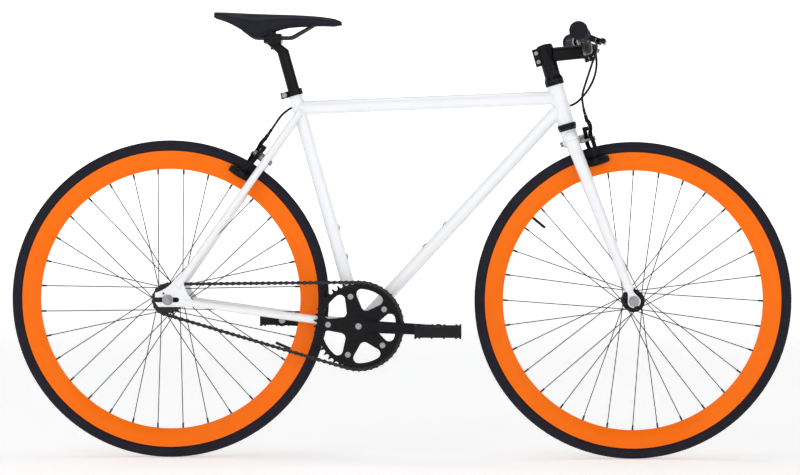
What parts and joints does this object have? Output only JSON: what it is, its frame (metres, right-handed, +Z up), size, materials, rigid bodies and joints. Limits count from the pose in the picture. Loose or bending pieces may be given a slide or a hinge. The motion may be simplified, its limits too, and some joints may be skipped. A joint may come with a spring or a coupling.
{
  "type": "fixed gear bicycle",
  "caption": "Fixed gear track-style bicycle with deep rims, riser handlebar, rim brakes and a chain drive that turns the cranks with the rear wheel.",
  "frame": {"origin": "on the ground midway between the axles, in the wheels' plane", "axes": "+X forward, +Y to the rider's left, +Z up"},
  "size_m": [1.6669, 0.5822, 0.952],
  "materials": {
    "frame_paint": "gloss",
    "rim_paint": "gloss",
    "tyre_rubber": "matte",
    "tube_rubber": "matte",
    "spoke_steel": "satin",
    "black_alloy": "satin",
    "bright_steel": "satin",
    "chain_steel": "satin",
    "grip_rubber": "matte",
    "pedal_plastic": "matte",
    "cable_plastic": "satin",
    "saddle_leather": "satin",
    "saddle_plastic": "matte",
    "rail_steel": "satin"
  },
  "bodies": {
    "frame": {"head_tube": "frame_paint", "top_tube": "frame_paint", "down_tube": "frame_paint", "seat_tube": "frame_paint", "bottom_bracket_shell": "frame_paint", "chainstays": "frame_paint", "seatstays": "frame_paint", "dropouts": "frame_paint", "headset_cups": "black_alloy", "bottle_bosses": "bright_steel", "bottom_bracket_cups": "bright_steel", "seat_collar": "black_alloy", "frame_bolts": "bright_steel", "rear_axle": "bright_steel", "chain": "chain_steel", "rear_brake_cable": "cable_plastic", "cable_clips": "frame_paint"},
    "steering": {"fork_crown": "frame_paint", "fork_blades": "frame_paint", "steerer_tube": "bright_steel", "headset_stack": "black_alloy", "stem": "black_alloy", "stem_faceplate": "black_alloy", "steering_bolts": "bright_steel", "handlebar": "black_alloy", "grips": "grip_rubber", "lever_brackets": "black_alloy", "front_axle": "bright_steel", "front_brake_cable": "cable_plastic", "rear_cable_loop": "cable_plastic"},
    "front_wheel": {"front_rim": "rim_paint", "front_tyre": "tyre_rubber", "front_inner_tube": "tube_rubber", "front_spokes": "spoke_steel", "front_hub": "black_alloy"},
    "rear_wheel": {"rear_rim": "rim_paint", "rear_tyre": "tyre_rubber", "rear_inner_tube": "tube_rubber", "rear_spokes": "spoke_steel", "rear_hub": "black_alloy", "cog": "chain_steel"},
    "crank": {"crank_spindle": "bright_steel", "crank_right": "black_alloy", "crank_left": "black_alloy", "chainring": "black_alloy", "crank_bolts": "bright_steel", "pedal_axles": "bright_steel"},
    "right_pedal": {"pedal_right": "pedal_plastic"},
    "left_pedal": {"pedal_left": "pedal_plastic"},
    "right_lever": {"brake_lever_right": "black_alloy"},
    "left_lever": {"brake_lever_left": "black_alloy"},
    "front_left_arm": {"front_caliper_left_arm": "black_alloy"},
    "front_right_arm": {"front_caliper_right_arm": "black_alloy"},
    "rear_left_arm": {"rear_caliper_left_arm": "black_alloy"},
    "rear_right_arm": {"rear_caliper_right_arm": "black_alloy"},
    "saddle": {"seatpost": "black_alloy", "saddle_clamp": "black_alloy", "saddle_rails": "rail_steel", "saddle_base": "saddle_plastic", "saddle_cover": "saddle_leather"}
  },
  "joints": [
    {"name": "steer", "type": "hinge", "parent": "frame", "child": "steering", "pos_m": [0.46281, 0, 0.32979], "axis": [-0.279, 0, 0.9603], "range_deg": [-70, 70], "deforming": ["rear_cable_loop"]},
    {"name": "front_wheel_spin", "type": "hinge", "parent": "steering", "child": "front_wheel", "pos_m": [0.4945, 0, 0.339], "axis": [0, 1, 0], "continuous": true},
    {"name": "rear_wheel_spin", "type": "hinge", "parent": "frame", "child": "rear_wheel", "pos_m": [-0.4945, 0, 0.339], "axis": [0, 1, 0], "continuous": true, "deforming": ["chain"]},
    {"name": "crank_spin", "type": "hinge", "parent": "frame", "child": "crank", "pos_m": [-0.08998, 0, 0.284], "axis": [0, 1, 0], "continuous": true},
    {"name": "right_pedal_spin", "type": "hinge", "parent": "crank", "child": "right_pedal", "pos_m": [0.07985, -0.072, 0.27659], "axis": [0, 1, 0], "continuous": true},
    {"name": "left_pedal_spin", "type": "hinge", "parent": "crank", "child": "left_pedal", "pos_m": [-0.25982, 0.072, 0.29141], "axis": [0, 1, 0], "continuous": true},
    {"name": "right_lever_pull", "type": "hinge", "parent": "steering", "child": "right_lever", "pos_m": [0.41438, -0.15054, 0.88573], "axis": [-0.3746, 0.0172, -0.927], "range_deg": [0, 14], "stiffness_Nm_per_rad": 2},
    {"name": "left_lever_pull", "type": "hinge", "parent": "steering", "child": "left_lever", "pos_m": [0.41438, 0.15054, 0.88573], "axis": [0.3746, 0.0172, 0.927], "range_deg": [0, 14], "stiffness_Nm_per_rad": 2},
    {"name": "front_left_arm_swing", "type": "hinge", "parent": "steering", "child": "front_left_arm", "pos_m": [0.37968, 0, 0.68261], "axis": [-0.9603, 0, -0.279], "range_deg": [0, 1.8]},
    {"name": "front_right_arm_swing", "type": "hinge", "parent": "steering", "child": "front_right_arm", "pos_m": [0.38107, -0.022, 0.67781], "axis": [0.9603, 0, 0.279], "range_deg": [0, 1.8]},
    {"name": "rear_right_arm_swing", "type": "hinge", "parent": "frame", "child": "rear_right_arm", "pos_m": [-0.29552, 0, 0.63909], "axis": [0.8225, 0, -0.5687], "range_deg": [0, 1.8]},
    {"name": "rear_left_arm_swing", "type": "hinge", "parent": "frame", "child": "rear_left_arm", "pos_m": [-0.29836, 0.022, 0.63498], "axis": [-0.8225, 0, 0.5687], "range_deg": [0, 1.8]},
    {"name": "saddle_height", "type": "slide", "parent": "frame", "child": "saddle", "axis": [-0.2723, 0, 0.9622], "range_m": [-0.08, 0.1]}
  ],
  "couplings": [
    {"joint": "crank_spin", "follows": "rear_wheel_spin", "ratio": 0.34783},
    {"joint": "front_left_arm_swing", "follows": "right_lever_pull", "ratio": 0.12857},
    {"joint": "front_right_arm_swing", "follows": "right_lever_pull", "ratio": 0.12857},
    {"joint": "rear_right_arm_swing", "follows": "left_lever_pull", "ratio": 0.12857},
    {"joint": "rear_left_arm_swing", "follows": "left_lever_pull", "ratio": 0.12857}
  ]
}
